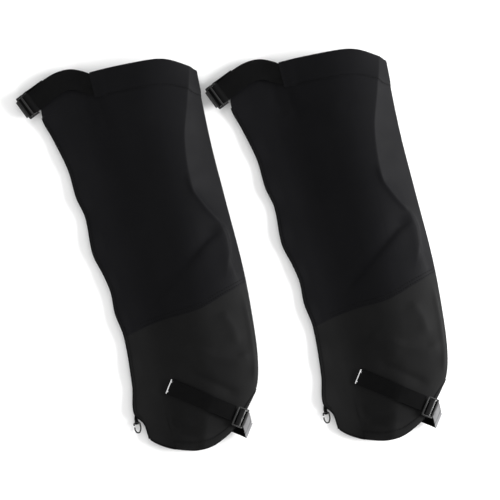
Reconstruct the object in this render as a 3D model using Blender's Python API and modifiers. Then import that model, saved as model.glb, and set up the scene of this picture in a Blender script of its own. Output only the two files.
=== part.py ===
"""A pair of knee-high hiking gaiters, lying side by side with their front closures to -X.

Metres, +Z up. +Y runs up the leg. The floor is Z = 0. One gaiter is described in its own frame:
X across, Y from the lowest point of its hem up.
"""
import math

import bmesh
import bpy
from mathutils import Matrix, Vector

# Where the two gaiters lie.
LEFT_PLACE = Vector((-0.0833, -0.2211, 0.0))
PAIR_STEP = Vector((0.2246, -0.0333, 0.0))

# Cloth, webbing and the clearances between layers.
FABRIC = 0.0011
WEBBING = 0.0012
TAPE = 0.0009
HEM_FABRIC = 0.0015
BINDING_FABRIC = 0.0014
THIN_WEBBING = 0.0008
PATCH = 0.0010
GAP = 0.0004
HINGE_GAP = 0.0012

# The leg tube's section.
FACET = 0.046            # width of the rounded side that slopes down to the back edge
SIDE_RISE = 0.012        # height of the back edge above the far layer
FAR_ROUND = 0.014        # rounding under the back edge
LEG_HEIGHT = 0.037       # puffed height at the top
HEM_HEIGHT = 0.028       # puffed height at the bottom hem
HEIGHT_REACH = 0.30      # length over which the height grows from the hem's to the top's
NEAR_RISE = 0.97         # share of the near face over which it climbs from the closure
NEAR_EASE = 0.34         # share of that climb rounded at each end
LAYER_LIFT = 0.0042      # the far layer rises over the strap and tunnel below it
TOP_LIFT = (0.385, 0.425)
HEM_LIFT = (0.075, 0.115)
BACK_DROP = 0.008        # the top edge is this much lower round the back

# The front closure.
ROOT_TOP = Vector((-0.072, 0.427))
ROOT_LOW = Vector((-0.040, 0.036))
ROOT_CLEAR = 0.0006      # the leg tube starts this far from the root line
CLOSURE_Z = 0.0052       # middle height of the flap
COLLAR_LOW = 0.4285      # the closure flap ends here and the fixed collar begins
COLLAR_TOP = 0.457
COLLAR_RISE = 0.0006
FLAP_TOP = 0.4270
UNDERLAP_TOP = 0.424
BINDING_WIDTH = 0.0042
TAPE_INSET = 0.0045      # from the closure's outer edge to the hook and loop tapes
TAPE_WIDTH = 0.0185
TAPE_LOW = 0.044
TAPE_TOP = 0.420
HOOK_TAPE_DROP = 0.0014  # below the flap's middle
LOOP_TAPE_DROP = 0.0027

# Edge bands of the leg tube.
HEM_BAND = 0.0088
HEM_STEP = 0.0105        # the lower panel starts this far above the hem line
SEAM_HALF = 0.010
TUNNEL_DEPTH = 0.031
STRAP_DROP = 0.0155      # the top strap's middle is this far below the top edge
BAND_START = 0.10        # share of the way round where the tunnel's mouth is
STRAP_END = 0.97

# Top strap and its ladder buckle.
TOP_WEB = 0.025
STRAP_LIFT = 0.0010
BUCKLE_AXIS = Vector((0.417, -0.911, 0))
BUCKLE_PIVOT = Vector((-0.1252, 0.4468, 0.0075))
BUCKLE_SIZE = (0.0135, 0.0300)
BUCKLE_EDGE = 0.0012     # from the hinge axis to the buckle's near edge
BUCKLE_WINDOWS = [(-0.0045, -0.0008, -0.0130, 0.0130), (0.0012, 0.0045, -0.0130, 0.0130)]
BUCKLE_PLATE = 0.0026
BUCKLE_TAB_START = Vector((-0.1000, 0.4560, 0.0030))
BUCKLE_TAB_END = (-0.0018, -0.0045)
BUCKLE_TAB_ROWS = 5
BUCKLE_TAB_WIDTH = 0.0240

# Instep strap and its buckle.
STEP_WEB = 0.019
STEP_AXIS = Vector((0.552, 0.834, 0))
STEP_PIVOT = Vector((0.0405, 0.0322))
STEP_RISE = 0.0062       # the buckle's hinge axis above the near face
STEP_SIZE = (0.0145, 0.0240)
STEP_EDGE = 0.0010
STEP_TILT = 0.30
STEP_WINDOW = (-0.0050, 0.0050, -0.0102, 0.0102)
STEP_PLATE = 0.0024
STEP_BAR = (0.0024, 0.0098, 0.0011)  # across the window, half length, radius
TAIL_START = 0.005
TAIL_LENGTH = 0.0815
TAIL_ROWS = 9
TAIL_GAP = 0.0030
TAIL_RISE = 0.0016       # extra height at the buckle, gone after TAIL_FADE
TAIL_FADE = 0.03
TIP_STEP = 0.0017
TIP_RADIUS = 0.0010
STEP_TAB = (0.005, 0.014, 0.026)
STEP_TAB_GAP = 0.0014
STEP_TAB_WIDTH = 0.0171
LOOP_START = Vector((0.0046, 0, -0.0046))
FLOOR_STEP = 0.0015
FLOOR_RUN = (0.0, 0.012, 0.030, 0.046)
FLOOR_STRAP_Z = 0.0012
PATCH_RUN = (0.014, 0.036, 0.058)
PATCH_Z = 0.0028
PATCH_WIDTH = 0.026

# Lace hook.
HOOK_PIVOT = Vector((-0.0778, 0.0462, 0.0052))
HOOK_WIRE = 0.0009
HOOK_HALF = 0.0036
HOOK_REACH = 0.0120
HOOK_TAB_ROUND = 0.0018
HOOK_TAB_HALF = 0.0022
HOOK_TAB_TAIL = 0.006

# Outlines: (height up the leg, x) for the two sides and (x, height) for the cross lines.
LEFT_EDGE = [(0.028, -0.0665), (0.044, -0.0690), (0.058, -0.0780), (0.090, -0.0735),
             (0.150, -0.0715), (0.180, -0.0765), (0.206, -0.0765), (0.228, -0.081),
             (0.255, -0.0885), (0.300, -0.0885), (0.325, -0.0945), (0.360, -0.0975),
             (0.400, -0.108), (0.427, -0.116), (0.450, -0.112), (0.470, -0.100)]
BACK_EDGE = [(0.000, 0.044), (0.043, 0.060), (0.062, 0.072), (0.090, 0.079), (0.130, 0.0825),
             (0.200, 0.0838), (0.290, 0.079), (0.360, 0.0755), (0.470, 0.0752)]
HEM_LINE = [(-0.080, 0.040), (-0.062, 0.020), (-0.045, 0.009), (-0.028, 0.003), (-0.010, 0.000),
            (0.010, 0.003), (0.038, 0.019), (0.057, 0.040), (0.074, 0.064), (0.090, 0.075)]
TOP_LINE = [(-0.120, 0.452), (-0.090, 0.463), (-0.050, 0.468), (0.000, 0.4685), (0.040, 0.466),
            (0.068, 0.457), (0.080, 0.450)]
SEAM_LINE = [(-0.080, 0.147), (-0.047, 0.156), (-0.019, 0.161), (0.022, 0.165), (0.055, 0.176),
             (0.090, 0.187)]

# The top strap's free run: x, y of its middle and the angle of its width, from the tunnel's mouth.
FREE_STRAP = [(-0.0600, 0.4590, 80), (-0.0720, 0.4630, 88), (-0.0850, 0.4625, 100),
              (-0.0980, 0.4585, 110), (-0.1095, 0.4535, 114), (-0.1222, 0.4478, 114.6)]
# The strap's end on the ladder buckle: distance out and height over the plate's middle.
STRAP_END_RUN = [(-0.0052, 0.0024), (-0.0020, 0.0024), (0.0010, 0.0026), (0.0042, 0.0024),
                 (0.0062, 0.0024)]
# The instep strap's turn outside the buckle: distance out and height from where it starts.
STEP_LOOP = [(0.0000, 0.0), (0.0050, -0.0012), (0.0085, -0.0050), (0.0092, -0.0105),
             (0.0070, -0.0150)]

# Shares of the way round the leg: near face, rounded side, underside of the side, far face.
NEAR_END = 0.42
SIDE_END = 0.56
UNDER_END = 0.64
COLUMNS = ([NEAR_END * i / 8 for i in range(8)]
           + [NEAR_END + (SIDE_END - NEAR_END) * i / 5 for i in range(5)]
           + [SIDE_END + (UNDER_END - SIDE_END) * i / 3 for i in range(3)]
           + [UNDER_END + (1 - UNDER_END) * i / 4 for i in range(5)])
BAND_COLUMNS = [q for q in COLUMNS if q > BAND_START]


# ------------------------------------------------------------------ shape of the leg tube
def curve_value(points, t):
    """Smooth (Catmull-Rom) value of a line of (t, value) points."""
    if t <= points[0][0]:
        return points[0][1]
    for i in range(len(points) - 1):
        t0, v0 = points[i]
        t1, v1 = points[i + 1]
        if t <= t1:
            before = points[max(i - 1, 0)]
            after = points[min(i + 2, len(points) - 1)]
            m0 = (v1 - before[1]) / (t1 - before[0]) * (t1 - t0)
            m1 = (after[1] - v0) / (after[0] - t0) * (t1 - t0)
            s = (t - t0) / (t1 - t0)
            return ((2 * s**3 - 3 * s**2 + 1) * v0 + (s**3 - 2 * s**2 + s) * m0
                    + (3 * s**2 - 2 * s**3) * v1 + (s**3 - s**2) * m1)
    return points[-1][1]


def smooth(low, high, value):
    s = min(max((value - low) / (high - low), 0.0), 1.0)
    return s * s * (3 - 2 * s)


def root_x(y):
    """The straight line along which the flap hinges on the near face."""
    s = (y - ROOT_LOW.y) / (ROOT_TOP.y - ROOT_LOW.y)
    return ROOT_LOW.x + s * (ROOT_TOP.x - ROOT_LOW.x)


def floor_z(y):
    """Middle of the far layer: flat on the floor, lifted over what lies under its two ends."""
    return FABRIC / 2 + LAYER_LIFT * (smooth(*TOP_LIFT, y) + 1 - smooth(*HEM_LIFT, y))


def eased_climb(share):
    """A straight climb from 0 to 1 with rounded ends."""
    t = min(max(share, 0.0), 1.0)
    if t < NEAR_EASE:
        height = t**2 / (2 * NEAR_EASE)
    elif t > 1 - NEAR_EASE:
        height = 1 - NEAR_EASE - (1 - t) ** 2 / (2 * NEAR_EASE)
    else:
        height = t - NEAR_EASE / 2
    return height / (1 - NEAR_EASE)


def section(q, y):
    """x and z of the leg tube at share q of the way round and height y."""
    root = root_x(y) + ROOT_CLEAR
    back = curve_value(BACK_EDGE, y)
    top = HEM_HEIGHT + (LEG_HEIGHT - HEM_HEIGHT) * smooth(0.0, HEIGHT_REACH, y)
    base = floor_z(y)
    side = base + SIDE_RISE
    if q <= NEAR_END:
        s = q / NEAR_END
        climb = eased_climb(s / NEAR_RISE)
        return root + s * (back - FACET - root), CLOSURE_Z + (top - CLOSURE_Z) * climb
    if q <= SIDE_END:
        a = (q - NEAR_END) / (SIDE_END - NEAR_END) * math.pi / 2
        return back - FACET * (1 - math.sin(a)), side + (top - side) * math.cos(a)
    if q <= UNDER_END:
        a = (q - SIDE_END) / (UNDER_END - SIDE_END) * math.pi / 2
        return back - FAR_ROUND * (1 - math.cos(a)), side - SIDE_RISE * math.sin(a)
    s = (q - UNDER_END) / (1 - UNDER_END)
    right = back - FAR_ROUND
    return right + s * (root - right), base


def leg_point(q, y, off=0.0, step=0.004):
    """Point of the leg tube at share q of the way round, height y, off outwards."""
    x, z = section(q, y)
    x0, z0 = section(max(q - step, 0.0), y)
    x1, z1 = section(min(q + step, 1.0), y)
    length = math.hypot(x1 - x0, z1 - z0)
    return Vector((x - off * (z1 - z0) / length, y, z + off * (x1 - x0) / length))


def line_height(line, q, guess):
    """Height where column q crosses an outline given as height against x."""
    y = guess
    for _ in range(12):
        y = curve_value(line, leg_point(q, y).x)
    return y


def hem_y(q):
    return line_height(HEM_LINE, q, 0.02)


def seam_y(q):
    return line_height(SEAM_LINE, q, 0.16)


def top_y(q):
    return line_height(TOP_LINE, q, 0.46) - BACK_DROP * smooth(NEAR_END, SIDE_END, q)


def near_z(x, y):
    """Height of the near face's middle at (x, y)."""
    low, high = 0.0, NEAR_END + 0.9 * (SIDE_END - NEAR_END)
    for _ in range(30):
        middle = (low + high) / 2
        if leg_point(middle, y).x < x:
            low = middle
        else:
            high = middle
    return leg_point(low, y).z


def lie_on_face(x, y, across, width, gap):
    """Webbing's two edge points round (x, y), rolled to lie on the near face with a gap under it."""
    half = across.normalized() * width / 2
    middle = Vector((x, y, 0))
    edges = [middle - half, middle + half]
    heights = [near_z(edge.x, edge.y) for edge in edges]
    bulge = max(near_z(x, y) - sum(heights) / 2, 0.0)
    return [Vector((edge.x, edge.y, z + bulge + gap)) for edge, z in zip(edges, heights)]


# ------------------------------------------------------------------ building blocks
def make_material(name, color, roughness, metallic=0.0):
    material = bpy.data.materials.new(name)
    material.use_nodes = True
    shader = material.node_tree.nodes["Principled BSDF"]
    shader.inputs["Base Color"].default_value = (*color, 1.0)
    shader.inputs["Roughness"].default_value = roughness
    shader.inputs["Metallic"].default_value = metallic
    return material


def add_object(name, data, material, collection):
    obj = bpy.data.objects.new(name, data)
    obj.data.materials.append(material)
    collection.objects.link(obj)
    return obj


def add_thickness(obj, thickness, even):
    solid = obj.modifiers.new("thickness", "SOLIDIFY")
    solid.thickness = thickness
    solid.offset = 0.0
    solid.use_even_offset = even


def to_mesh(bm, name):
    mesh = bpy.data.meshes.new(name)
    bm.to_mesh(mesh)
    bm.free()
    return mesh


def make_sheet(name, rows, thickness, material, collection, place, origin):
    """A closed sheet of even thickness whose middle is the grid of points in rows, moved by place."""
    bm = bmesh.new()
    grid = [[bm.verts.new(point + place - origin) for point in row] for row in rows]
    for low, high in zip(grid, grid[1:]):
        for i in range(len(low) - 1):
            bm.faces.new((low[i], low[i + 1], high[i + 1], high[i]))
    obj = add_object(name, to_mesh(bm, name), material, collection)
    obj.location = origin
    add_thickness(obj, thickness, True)
    return obj


def ribbon_rows(points, across, width):
    """Rows of two edge points for webbing of one width along points."""
    half = across.normalized() * width / 2
    return [[point - half, point + half] for point in points]


def make_frame_plate(name, size, windows, thickness, matrix, material, collection):
    """A rectangular buckle plate with window boxes (x0, x1, y0, y1) cut through it."""
    xs = sorted({-size[0] / 2, size[0] / 2, *[x for window in windows for x in window[:2]]})
    ys = sorted({-size[1] / 2, size[1] / 2, *[y for window in windows for y in window[2:]]})
    bm = bmesh.new()
    grid = [[bm.verts.new((x, y, 0)) for y in ys] for x in xs]
    for i in range(len(xs) - 1):
        for j in range(len(ys) - 1):
            x = (xs[i] + xs[i + 1]) / 2
            y = (ys[j] + ys[j + 1]) / 2
            if not any(x0 < x < x1 and y0 < y < y1 for x0, x1, y0, y1 in windows):
                bm.faces.new((grid[i][j], grid[i + 1][j], grid[i + 1][j + 1], grid[i][j + 1]))
    obj = add_object(name, to_mesh(bm, name), material, collection)
    obj.matrix_world = matrix
    add_thickness(obj, thickness, False)
    return obj


def make_bar(name, start, end, radius, material, collection, sides=10):
    """A round bar from start to end, with its origin at its middle."""
    axis = end - start
    bm = bmesh.new()
    bmesh.ops.create_cone(bm, cap_ends=True, segments=sides, radius1=radius, radius2=radius,
                          depth=axis.length)
    obj = add_object(name, to_mesh(bm, name), material, collection)
    obj.location = (start + end) / 2
    obj.rotation_mode = "QUATERNION"
    obj.rotation_quaternion = axis.to_track_quat("Z", "Y")
    return obj


def make_wire(name, points, radius, material, collection, origin):
    """A bent wire with filled ends, its points given from its origin."""
    curve = bpy.data.curves.new(name, "CURVE")
    curve.dimensions = "3D"
    curve.bevel_depth = radius
    curve.bevel_resolution = 2
    curve.use_fill_caps = True
    spline = curve.splines.new("POLY")
    spline.points.add(len(points) - 1)
    for target, point in zip(spline.points, points):
        target.co = (*point, 1.0)
    obj = add_object(name, curve, material, collection)
    obj.location = origin
    return obj


def plate_matrix(centre, long_axis, tilt):
    """Local X along the strap (outwards), Y along the bars, tilted down along X."""
    y_axis = long_axis.normalized()
    x_axis = Vector((y_axis.y * math.cos(tilt), -y_axis.x * math.cos(tilt), -math.sin(tilt)))
    matrix = Matrix((x_axis, y_axis, x_axis.cross(y_axis))).transposed().to_4x4()
    matrix.translation = centre
    return matrix


# ------------------------------------------------------------------ cloth
def leg_rows(low, high, count, columns, off=0.0):
    """Grid rows over the leg tube; low and high hold each column's two end heights."""
    return [[leg_point(q, a + (b - a) * i / count, off) for q, a, b in zip(columns, low, high)]
            for i in range(count + 1)]


def add_panels(side, place, mats, collection):
    """Upper and lower panel, the hem's and the top's bands, and the tape inside the seam."""
    hem = [hem_y(q) for q in COLUMNS]
    seam = [seam_y(q) for q in COLUMNS]
    top = [top_y(q) for q in COLUMNS]
    band_top = [top_y(q) for q in BAND_COLUMNS]
    inner = -(FABRIC / 2 + GAP + TAPE / 2)
    tunnel = FABRIC / 2 + WEBBING + 3 * GAP + TAPE / 2
    panels = (
        ("upper_panel", [y + GAP / 2 for y in seam], top, 12, COLUMNS, 0.0, FABRIC, "shell"),
        ("lower_panel", [y + HEM_STEP for y in hem], [y - GAP / 2 for y in seam], 7, COLUMNS, 0.0,
         FABRIC, "heavy"),
        ("hem_binding", hem, [y + HEM_BAND for y in hem], 1, COLUMNS, 0.0, HEM_FABRIC, "binding"),
        ("seam_tape", [y - SEAM_HALF for y in seam[1:-1]], [y + SEAM_HALF for y in seam[1:-1]], 1,
         COLUMNS[1:-1], inner, TAPE, "tape"),
        ("top_tunnel", [y - TUNNEL_DEPTH for y in band_top], band_top, 2, BAND_COLUMNS, tunnel, TAPE,
         "shell"),
    )
    for name, low, high, count, columns, off, thickness, mat in panels:
        make_sheet(side + name, leg_rows(low, high, count, columns, off), thickness, mats[mat],
                   collection, place, place)


def closure_x(y, share, outer, inner, width):
    """x across the closure: share 0 at its outer edge and 1 at the root line or at its width."""
    left = curve_value(LEFT_EDGE, y) + outer
    right = left + width if width else root_x(y) + inner
    return left + share * (right - left)


def closure_rows(low, high, count, outer, inner, width, z):
    """Rows across the closure; a low of None follows the hem line."""
    shares = (0.0, 0.5, 1.0)
    starts = []
    for share in shares:
        y = 0.02 if low is None else low
        for _ in range(12 if low is None else 0):
            y = curve_value(HEM_LINE, closure_x(y, share, outer, inner, width))
        starts.append(y)
    rows = []
    for i in range(count + 1):
        heights = [start + (high - start) * i / count for start in starts]
        rows.append([Vector((closure_x(y, share, outer, inner, width), y, z))
                     for share, y in zip(shares, heights)])
    return rows


def add_closure(side, place, mats, collection):
    """Underlap, loop tape, hook tape, flap, its bound edge and the fixed collar above it."""
    hinge = -HINGE_GAP
    strips = (
        ("front_flap", None, FLAP_TOP, 16, BINDING_WIDTH + GAP, hinge, None, CLOSURE_Z, FABRIC,
         "shell"),
        ("flap_binding", None, FLAP_TOP, 16, 0.0, 0.0, BINDING_WIDTH, CLOSURE_Z, BINDING_FABRIC,
         "binding"),
        ("hook_tape", TAPE_LOW, TAPE_TOP, 10, TAPE_INSET, 0.0, TAPE_WIDTH, CLOSURE_Z - HOOK_TAPE_DROP,
         TAPE, "hook"),
        ("loop_tape", TAPE_LOW, TAPE_TOP, 10, TAPE_INSET, 0.0, TAPE_WIDTH, CLOSURE_Z - LOOP_TAPE_DROP,
         TAPE, "loop"),
        ("front_underlap", None, UNDERLAP_TOP, 16, 0.0030, 0.0002, None, FABRIC / 2, FABRIC, "shell"),
        ("collar_tab", COLLAR_LOW, COLLAR_TOP, 3, 0.0020, 0.0002, None, CLOSURE_Z + COLLAR_RISE,
         FABRIC, "shell"),
    )
    for name, low, high, count, outer, inner, width, z, thickness, mat in strips:
        rows = closure_rows(low, high, count, outer, inner, width, z)
        make_sheet(side + name, rows, thickness, mats[mat], collection, place, place)


# ------------------------------------------------------------------ straps and hardware
def add_top_strap(side, place, mats, collection):
    """Webbing round the leg inside the tunnel, out of its mouth and over the front edge."""
    off = FABRIC / 2 + 2 * GAP + WEBBING / 2
    rows = []
    for q in reversed([q for q in BAND_COLUMNS if q < STRAP_END]):
        y = top_y(q) - STRAP_DROP
        rows.append([leg_point(q, y + step * TOP_WEB / 2, off) for step in (-1, 1)])
    rest = CLOSURE_Z + COLLAR_RISE + FABRIC / 2 + 2 * GAP + WEBBING / 2
    for x, y, angle in FREE_STRAP:
        across = Vector((math.cos(math.radians(angle)), math.sin(math.radians(angle)), 0))
        edges = lie_on_face(x, y, across, TOP_WEB, off + STRAP_LIFT)
        rows.append([Vector((edge.x, edge.y, max(edge.z, rest))) for edge in edges])
    make_sheet(side + "top_strap", rows, WEBBING, mats["webbing"], collection, place, place)


def add_top_buckle(side, place, mats, collection):
    """Ladder buckle on its webbing tab, with the strap's end threaded over its bars."""
    matrix = plate_matrix(BUCKLE_PIVOT + place, BUCKLE_AXIS, 0.0)
    pivot = matrix.to_translation()
    tab_end = matrix @ Vector((BUCKLE_TAB_END[0], 0, BUCKLE_TAB_END[1]))
    plate = matrix @ Matrix.Translation((BUCKLE_SIZE[0] / 2 - BUCKLE_EDGE, 0, 0))
    make_frame_plate(side + "top_buckle", BUCKLE_SIZE, BUCKLE_WINDOWS, BUCKLE_PLATE, plate,
                     mats["plastic"], collection)
    nowhere = Vector()
    points = [plate @ Vector((x, 0, z)) for x, z in STRAP_END_RUN]
    make_sheet(side + "top_strap_end", ribbon_rows(points, BUCKLE_AXIS, TOP_WEB), WEBBING,
               mats["webbing"], collection, nowhere, pivot)
    last = BUCKLE_TAB_ROWS - 1
    points = [(BUCKLE_TAB_START + place).lerp(tab_end, i / last) for i in range(BUCKLE_TAB_ROWS)]
    make_sheet(side + "top_buckle_tab", ribbon_rows(points, BUCKLE_AXIS, BUCKLE_TAB_WIDTH), WEBBING,
               mats["webbing"], collection, nowhere, pivot)


def step_matrix(place):
    """The instep buckle's hinge axis, over the near face at the leg's lower edge."""
    height = near_z(STEP_PIVOT.x, STEP_PIVOT.y) + STEP_RISE
    return plate_matrix(Vector((STEP_PIVOT.x, STEP_PIVOT.y, height)) + place, STEP_AXIS, STEP_TILT)


def add_step_buckle(side, matrix, mats, collection):
    """Frame of the instep buckle and the loose bar across its window."""
    make_frame_plate(side + "instep_buckle", STEP_SIZE, [STEP_WINDOW], STEP_PLATE, matrix,
                     mats["plastic"], collection)
    out, half, radius = STEP_BAR
    make_bar(side + "instep_buckle_bar", matrix @ Vector((out, -half, 0)),
             matrix @ Vector((out, half, 0)), radius, mats["steel"], collection)


def add_step_tail(side, place, pivot, mats, collection):
    """Free end of the instep strap over the near face, its metal tip, and the buckle's tab."""
    back = Vector((-STEP_AXIS.y, STEP_AXIS.x))
    rows = []
    for i in range(TAIL_ROWS):
        s = TAIL_START + TAIL_LENGTH * i / (TAIL_ROWS - 1)
        rise = TAIL_RISE * (1 - min(s / TAIL_FADE, 1.0))
        rows.append(lie_on_face(*(STEP_PIVOT + back * s), STEP_AXIS, STEP_WEB, TAIL_GAP + rise))
    make_sheet(side + "instep_strap_tail", rows, WEBBING, mats["webbing"], collection, place, pivot)
    tip = [edge + (edge - before).normalized() * TIP_STEP + place
           for edge, before in zip(rows[-1], rows[-2])]
    make_bar(side + "instep_strap_tip", tip[0], tip[1], TIP_RADIUS, mats["steel"], collection)
    rows = [lie_on_face(*(STEP_PIVOT + back * s), STEP_AXIS, STEP_TAB_WIDTH, STEP_TAB_GAP)
            for s in STEP_TAB]
    make_sheet(side + "instep_buckle_tab", rows, THIN_WEBBING, mats["webbing"], collection, place,
               pivot)


def add_step_loop(side, matrix, pivot, mats, collection):
    """Instep strap from the buckle round the lower edge to the far side, and its sewn patch."""
    out = Vector((STEP_AXIS.y, -STEP_AXIS.x, 0))
    start = matrix @ LOOP_START
    points = [start + out * forward + Vector((0, 0, drop)) for forward, drop in STEP_LOOP]
    ground = start + out * FLOOR_STEP
    points += [Vector((*(ground - out * s).xy, FLOOR_STRAP_Z)) for s in FLOOR_RUN]
    nowhere = Vector()
    make_sheet(side + "instep_strap", ribbon_rows(points, STEP_AXIS, STEP_WEB), WEBBING,
               mats["strap"], collection, nowhere, pivot)
    points = [Vector((*(ground - out * s).xy, PATCH_Z)) for s in PATCH_RUN]
    make_sheet(side + "instep_anchor_patch", ribbon_rows(points, STEP_AXIS, PATCH_WIDTH), PATCH,
               mats["heavy"], collection, nowhere, pivot)


def add_instep(side, place, mats, collection):
    """Strap from the far side, round the lower edge into the buckle, and its free end."""
    matrix = step_matrix(place)
    pivot = matrix.to_translation()
    plate = matrix @ Matrix.Translation((STEP_SIZE[0] / 2 - STEP_EDGE, 0, 0))
    add_step_buckle(side, plate, mats, collection)
    add_step_tail(side, place, pivot, mats, collection)
    add_step_loop(side, plate, pivot, mats, collection)


def add_lace_hook(side, place, mats, collection):
    """Wire hook that hangs from a webbing loop at the bottom of the front closure."""
    pivot = HOOK_PIVOT + place
    half, reach = HOOK_HALF, HOOK_REACH
    wire = [(-half, 0.0, 0.0), (half, 0.0, 0.0), (half, -reach * 0.55, 0.0),
            (half * 0.6, -reach, 0.0006), (-half * 0.6, -reach, 0.0006),
            (-half, -reach * 0.62, 0.0004), (-half, -reach * 0.25, 0.0004)]
    make_wire(side + "lace_hook", wire, HOOK_WIRE, mats["wire"], collection, pivot)
    points = []
    for angle in (90, 135, 180, 225, 270):
        turn = math.radians(angle)
        points.append(pivot + HOOK_TAB_ROUND * Vector((0, math.cos(turn), math.sin(turn))))
    points.append(points[-1] + Vector((0, HOOK_TAB_TAIL, 0)))
    make_sheet(side + "lace_hook_tab", ribbon_rows(points, Vector((1, 0, 0)), 2 * HOOK_TAB_HALF),
               THIN_WEBBING, mats["webbing"], collection, Vector(), pivot)


def add_gaiter(side, place, mats, collection):
    add_panels(side, place, mats, collection)
    add_closure(side, place, mats, collection)
    add_top_strap(side, place, mats, collection)
    add_top_buckle(side, place, mats, collection)
    add_instep(side, place, mats, collection)
    add_lace_hook(side, place, mats, collection)


def main():
    for obj in list(bpy.data.objects):
        bpy.data.objects.remove(obj, do_unlink=True)
    collection = bpy.data.collections.new("gaiters")
    bpy.context.scene.collection.children.link(collection)
    mats = {
        "shell": make_material("shell", (0.008, 0.008, 0.009), 0.62),
        "heavy": make_material("heavy", (0.012, 0.012, 0.012), 0.72),
        "binding": make_material("binding", (0.005, 0.005, 0.005), 0.8),
        "webbing": make_material("webbing", (0.005, 0.005, 0.005), 0.7),
        "strap": make_material("strap", (0.15, 0.15, 0.15), 0.55),
        "hook": make_material("hook", (0.008, 0.008, 0.008), 0.9),
        "loop": make_material("loop", (0.008, 0.008, 0.008), 0.95),
        "tape": make_material("tape", (0.02, 0.02, 0.02), 0.5),
        "plastic": make_material("plastic", (0.010, 0.010, 0.010), 0.4),
        "steel": make_material("steel", (0.6, 0.6, 0.6), 0.3, 1.0),
        "wire": make_material("wire", (0.012, 0.012, 0.012), 0.35, 0.6),
    }
    add_gaiter("left_", LEFT_PLACE, mats, collection)
    add_gaiter("right_", LEFT_PLACE + PAIR_STEP, mats, collection)


main()
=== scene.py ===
"""Looks of a pair of black hiking gaiters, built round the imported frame.

One gaiter is described in its own frame: x across, y up the leg, z up from the floor, in metres.
"""

import math

import bmesh
import bpy
import numpy as np
from mathutils import Matrix, Vector


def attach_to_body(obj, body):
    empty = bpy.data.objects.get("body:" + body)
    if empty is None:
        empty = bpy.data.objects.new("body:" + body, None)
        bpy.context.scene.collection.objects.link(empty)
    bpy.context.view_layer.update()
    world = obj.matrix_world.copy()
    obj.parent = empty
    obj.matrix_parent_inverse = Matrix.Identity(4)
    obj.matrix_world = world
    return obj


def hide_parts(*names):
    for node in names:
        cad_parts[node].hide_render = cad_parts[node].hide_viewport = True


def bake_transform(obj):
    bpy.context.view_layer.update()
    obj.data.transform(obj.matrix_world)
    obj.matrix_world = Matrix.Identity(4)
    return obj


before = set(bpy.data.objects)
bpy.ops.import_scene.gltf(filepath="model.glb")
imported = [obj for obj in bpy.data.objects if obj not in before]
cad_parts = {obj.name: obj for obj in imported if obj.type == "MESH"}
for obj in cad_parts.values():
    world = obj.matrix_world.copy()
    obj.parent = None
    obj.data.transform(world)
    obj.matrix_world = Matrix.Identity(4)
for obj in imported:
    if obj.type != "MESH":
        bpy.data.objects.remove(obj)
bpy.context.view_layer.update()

# ---------------------------------------------------------------- shape of one gaiter
# Where each gaiter's own frame stands.
PLACES = {"left": np.array([-0.0833, -0.2211, 0.0]), "right": np.array([0.1413, -0.2544, 0.0])}
CLOTH = 0.0009
# The tube of the leg: the near face climbs from the closure, and the side rolls down to the floor.
LEG_HEIGHT = 0.037
HEM_HEIGHT = 0.028
FULL_HEIGHT_Y = 0.30
SIDE_WIDTH = 0.046
SIDE_RISE = 0.012
UNDER_ROUND = 0.014
NEAR_RISE = 0.97
NEAR_EASE = 0.34
# Shares of the way round at which the near face, the side and the turn under it end.
NEAR_END, SIDE_END, UNDER_END = 0.42, 0.56, 0.64
# The closure along the front: its root line, its height, and where its layers lift the far side.
ROOT_TOP = (-0.072, 0.427)
ROOT_LOW = (-0.040, 0.036)
CLOSURE_Z = 0.0052
LAYER_LIFT = 0.0042
TOP_LAYERS = (0.385, 0.425)
LOW_LAYERS = (0.075, 0.115)
RIPPLE = 0.0007
RIPPLE_LENGTH = 0.052
FLAP_EDGE_TOP = 0.4268
COLLAR_LOW = 0.4280
COLLAR_TOP = 0.4575
UNDERLAP_TOP = 0.452
UNDERLAP_OUTER = 0.0022
UNDERLAP_LIFT = 0.0002
# Cloth ends this far inside its rolled edges, whose radius is the second value.
EDGE_INSET = 0.0008
BINDING_RADIUS = 0.0012
HEM_FOLD = 0.0092
HEM_CLEAR = 0.0006
# Tapes: hook and loop inside the closure, and the waterproof tape inside the seam.
TAPE_LOW, TAPE_TOP = 0.044, 0.420
TAPE_EDGE, TAPE_WIDTH = 0.0045, 0.0185
TAPE_THICK = 0.0009
SEAM_TAPE_HALF = 0.010
SEAM_TAPE_THICK = 0.0005
INSIDE_LEG = -0.0014
# Band round the top that the strap runs in.
BAND_START = 0.098
BAND_WIDTH = 0.0310
# Rows of stitches: how far each lies from its edge or seam.
STITCH_LENGTH = 0.0022
STITCH_GAP = 0.0010
THREAD_RADIUS = 0.00026
HEM_STITCHES = 0.0090
SEAM_STITCHES = (0.0022, 0.0062)
BAND_STITCHES = 0.0296
FLAP_STITCHES = 0.0035
# Straps and hardware.
TOP_WEB = 0.025
STEP_WEB = 0.019
STRAP_BELOW_TOP = 0.0155
STRAP_GAP = 0.0024
STRAP_ARCH = 0.0030
# Middle line of the free strap, from its mouth to the buckle: x, y and the direction of its width.
FREE_STRAP = [(-0.0480, 0.4535, 90.0), (-0.0600, 0.4600, 80.0), (-0.0720, 0.4650, 88.0),
              (-0.0850, 0.4650, 100.0), (-0.0980, 0.4610, 110.0), (-0.1095, 0.4550, 114.0),
              (-0.1222, 0.4478, 114.6)]
BUCKLE_PIVOT = Vector((-0.1252, 0.4468, 0.0075))
BUCKLE_ALONG = Vector((0.417, -0.911, 0.0)).normalized()
STEP_PIVOT = Vector((0.0405, 0.0322, 0.031475))
STEP_ALONG = Vector((0.552, 0.834, 0.0)).normalized()
STEP_TILT = 0.30
STRAP_SHIFT = 0.0125
STRAP_LOW = 0.0014
KNURLS = 15
HOOK_PIVOT = Vector((-0.0778, 0.0462, 0.0052))
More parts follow.
